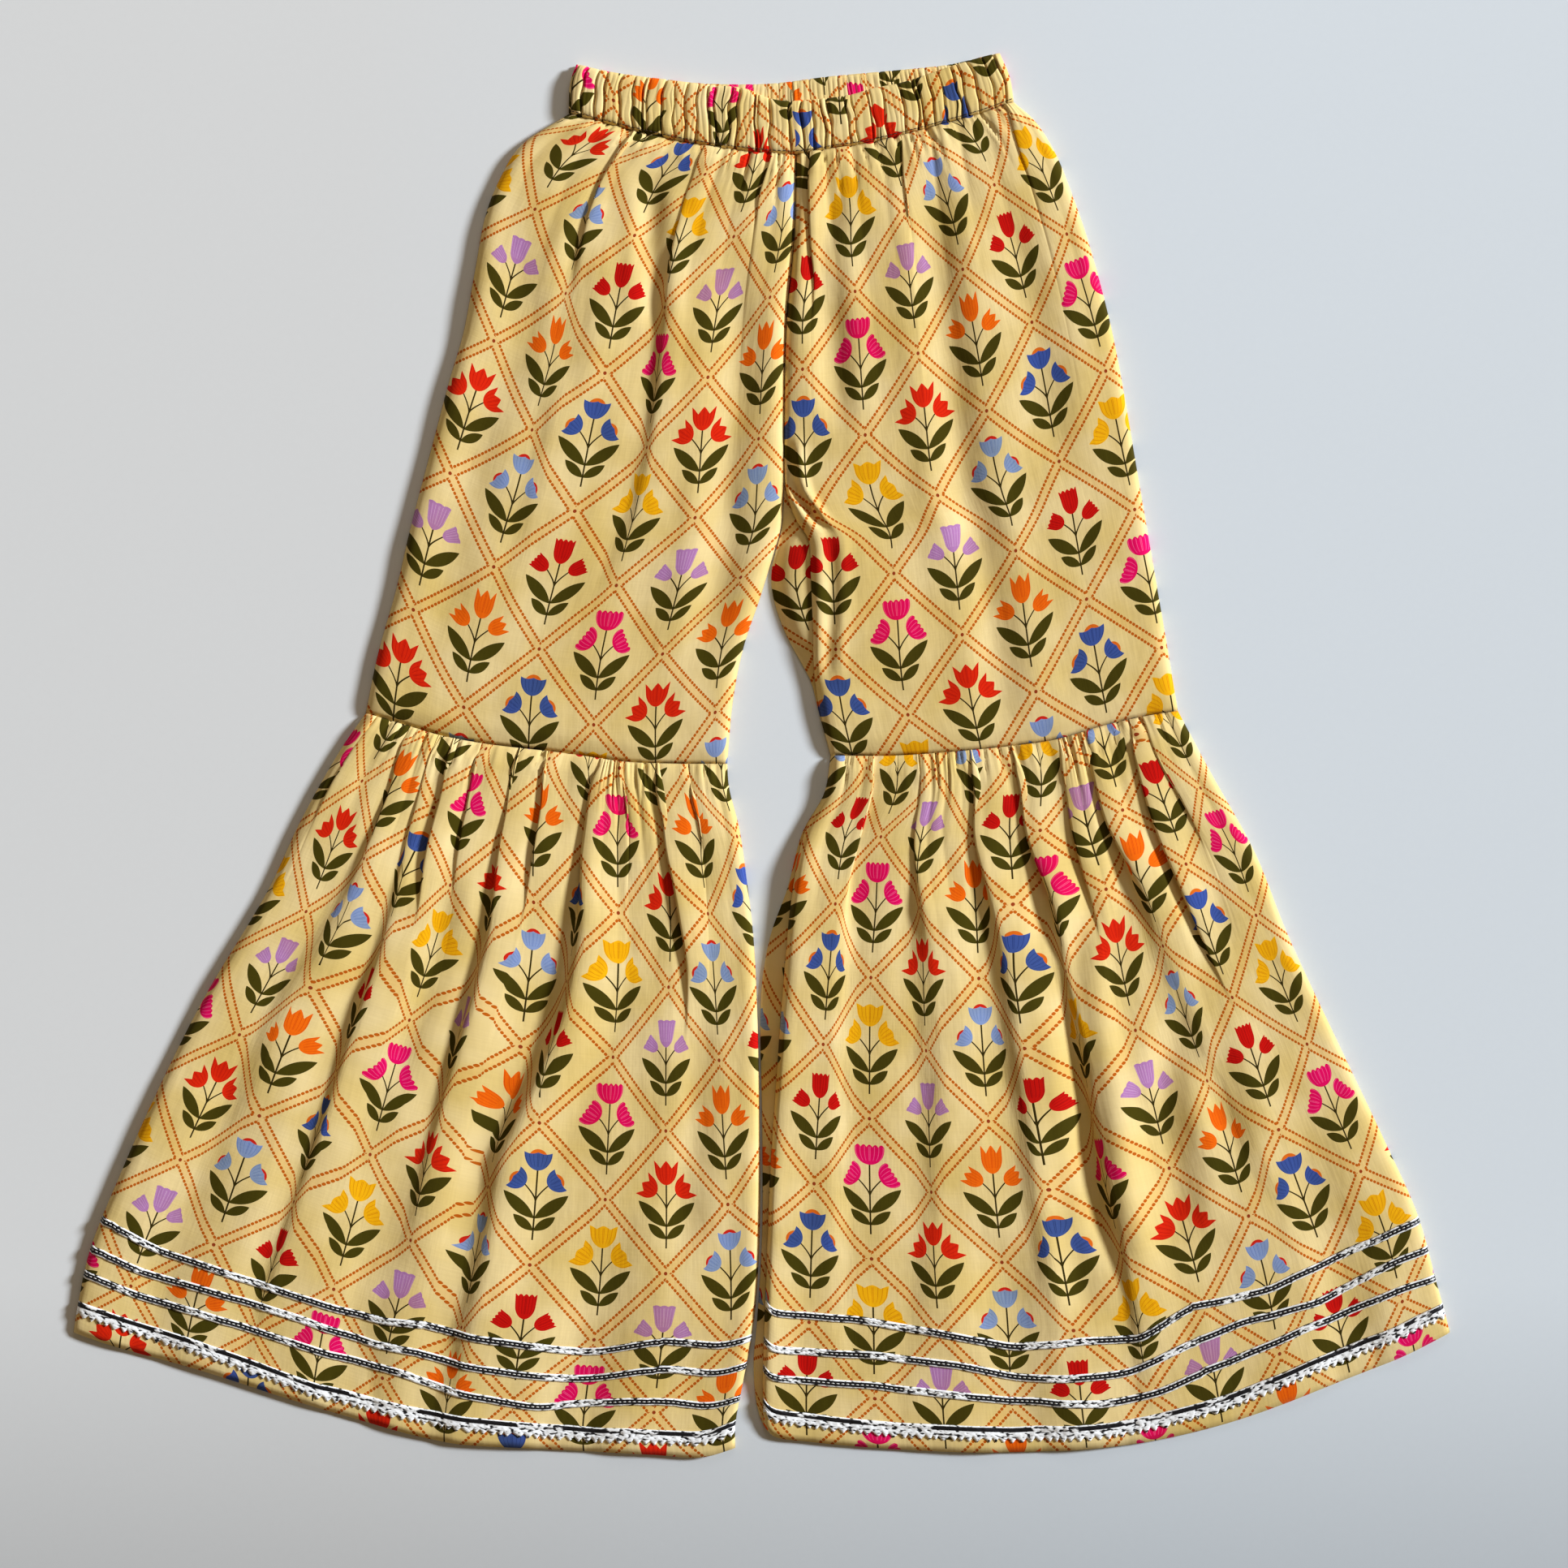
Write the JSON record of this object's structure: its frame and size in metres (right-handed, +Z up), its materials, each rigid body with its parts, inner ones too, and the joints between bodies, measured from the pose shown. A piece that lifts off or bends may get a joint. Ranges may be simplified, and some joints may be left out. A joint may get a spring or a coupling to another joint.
{
  "type": "child's tiered ruffle pants laid flat",
  "caption": "Child's printed cotton flared pants laid flat, with an elastic casing, a gathered tier from each knee, and silver ribbon and lace above the hems.",
  "frame": {"origin": "centre of the bounding box's bottom, on the surface that the pants lie on", "axes": "+Z up from that surface, +Y towards the waist, +X to the right as seen from above"},
  "size_m": [0.6776, 0.6908, 0.0151],
  "materials": {
    "cotton": "cream cotton printed with small tulip sprigs in a dashed lattice",
    "silver_trim": "crumpled silver foil ribbon and lace"
  },
  "bodies": {
    "root": {"waistband_front": "cotton", "waistband_back": "cotton", "leg_left_front": "cotton", "leg_left_back": "cotton", "leg_right_front": "cotton", "leg_right_back": "cotton", "tier_left_front": "cotton", "tier_left_back": "cotton", "tier_right_front": "cotton", "tier_right_back": "cotton", "ribbon_left_1": "silver_trim", "ribbon_left_2": "silver_trim", "ribbon_left_3": "silver_trim", "lace_left": "silver_trim", "ribbon_right_1": "silver_trim", "ribbon_right_2": "silver_trim", "ribbon_right_3": "silver_trim", "lace_right": "silver_trim"}
  },
  "joints": []
}
